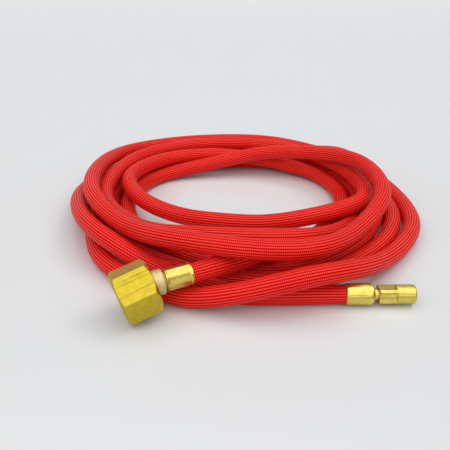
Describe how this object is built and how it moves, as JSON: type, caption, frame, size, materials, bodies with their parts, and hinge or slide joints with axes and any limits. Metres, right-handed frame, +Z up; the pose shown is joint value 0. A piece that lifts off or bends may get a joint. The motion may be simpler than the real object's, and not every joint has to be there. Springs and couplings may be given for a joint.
{
  "type": "welding torch power lead",
  "caption": "Coiled one-piece torch power lead: braided gas hose with an inner copper conductor, crimped brass ferrules and a loose union nut at each end.",
  "frame": {"origin": "centre of the bounding box, on the floor the coil lies on", "axes": "+Z up from the floor, +X along the torch end's fitting towards its open mouth, -Y towards the side where both ends lie"},
  "size_m": [0.2782, 0.323, 0.0417],
  "materials": {
    "braided_hose": "satin woven braid",
    "copper": "bare copper",
    "nut_brass": "satin machined",
    "pale_brass": "matte",
    "ferrule_brass": "polished and crimped"
  },
  "bodies": {
    "lead": {"hose": "braided_hose", "conductor": "copper", "machine_tailpiece": "pale_brass", "machine_ferrule": "ferrule_brass", "machine_conductor_sleeve": "copper", "torch_tailpiece": "pale_brass", "torch_ferrule": "ferrule_brass", "torch_conductor_sleeve": "copper"},
    "machine_nut": {"machine_union_nut": "nut_brass"},
    "torch_nut": {"torch_union_nut": "nut_brass"}
  },
  "joints": [
    {"name": "machine_nut_turn", "type": "hinge", "parent": "lead", "child": "machine_nut", "pos_m": [-0.06814, -0.14487, 0.01661], "axis": [0.881, 0.4015, 0.2504], "continuous": true},
    {"name": "torch_nut_turn", "type": "hinge", "parent": "lead", "child": "torch_nut", "pos_m": [0.09348, -0.12819, 0.0066], "axis": [1, 0, 0], "continuous": true}
  ]
}
